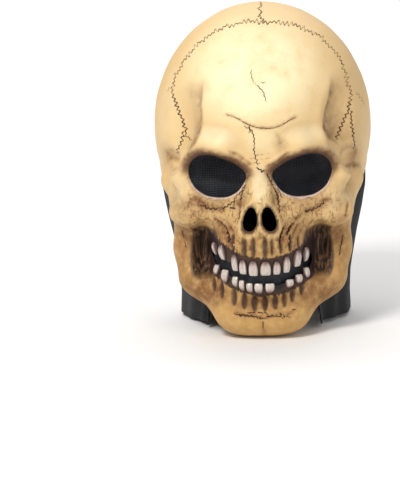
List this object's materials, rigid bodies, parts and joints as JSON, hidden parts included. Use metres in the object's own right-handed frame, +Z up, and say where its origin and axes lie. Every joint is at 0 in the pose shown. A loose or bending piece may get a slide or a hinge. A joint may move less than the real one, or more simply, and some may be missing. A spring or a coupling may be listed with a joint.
{
  "type": "skull mask",
  "caption": "Full-head skull mask of painted latex, with mesh behind the eyes and the mouth, set teeth and a black stretch hood down the neck.",
  "frame": {"origin": "the point inside the crown where the wearer's head carries the mask", "axes": "+Z up, the face looks along -Y, +X towards the mask's own left"},
  "size_m": [0.1958, 0.2441, 0.2856],
  "materials": {
    "painted_latex": "satin bone-coloured paint with brown shading, over cast latex",
    "tooth_enamel": "glossy greyish white paint, darker towards the gum",
    "black_mesh": "fine black woven mesh",
    "black_stretch": "matt black stretch knit"
  },
  "bodies": {
    "root": {"skull_shell": "painted_latex", "hood": "black_stretch", "eye_mesh_left": "black_mesh", "eye_mesh_right": "black_mesh", "mouth_mesh": "black_mesh", "upper_tooth_1": "tooth_enamel", "upper_tooth_2": "tooth_enamel", "upper_tooth_3": "tooth_enamel", "upper_tooth_4": "tooth_enamel", "upper_tooth_5": "tooth_enamel", "upper_tooth_6": "tooth_enamel", "upper_tooth_7": "tooth_enamel", "upper_tooth_8": "tooth_enamel", "upper_tooth_9": "tooth_enamel", "upper_tooth_10": "tooth_enamel", "lower_tooth_1": "tooth_enamel", "lower_tooth_2": "tooth_enamel", "lower_tooth_3": "tooth_enamel", "lower_tooth_4": "tooth_enamel", "lower_tooth_5": "tooth_enamel", "lower_tooth_6": "tooth_enamel", "lower_tooth_7": "tooth_enamel", "lower_tooth_8": "tooth_enamel", "lower_tooth_9": "tooth_enamel", "lower_tooth_10": "tooth_enamel"}
  },
  "joints": []
}
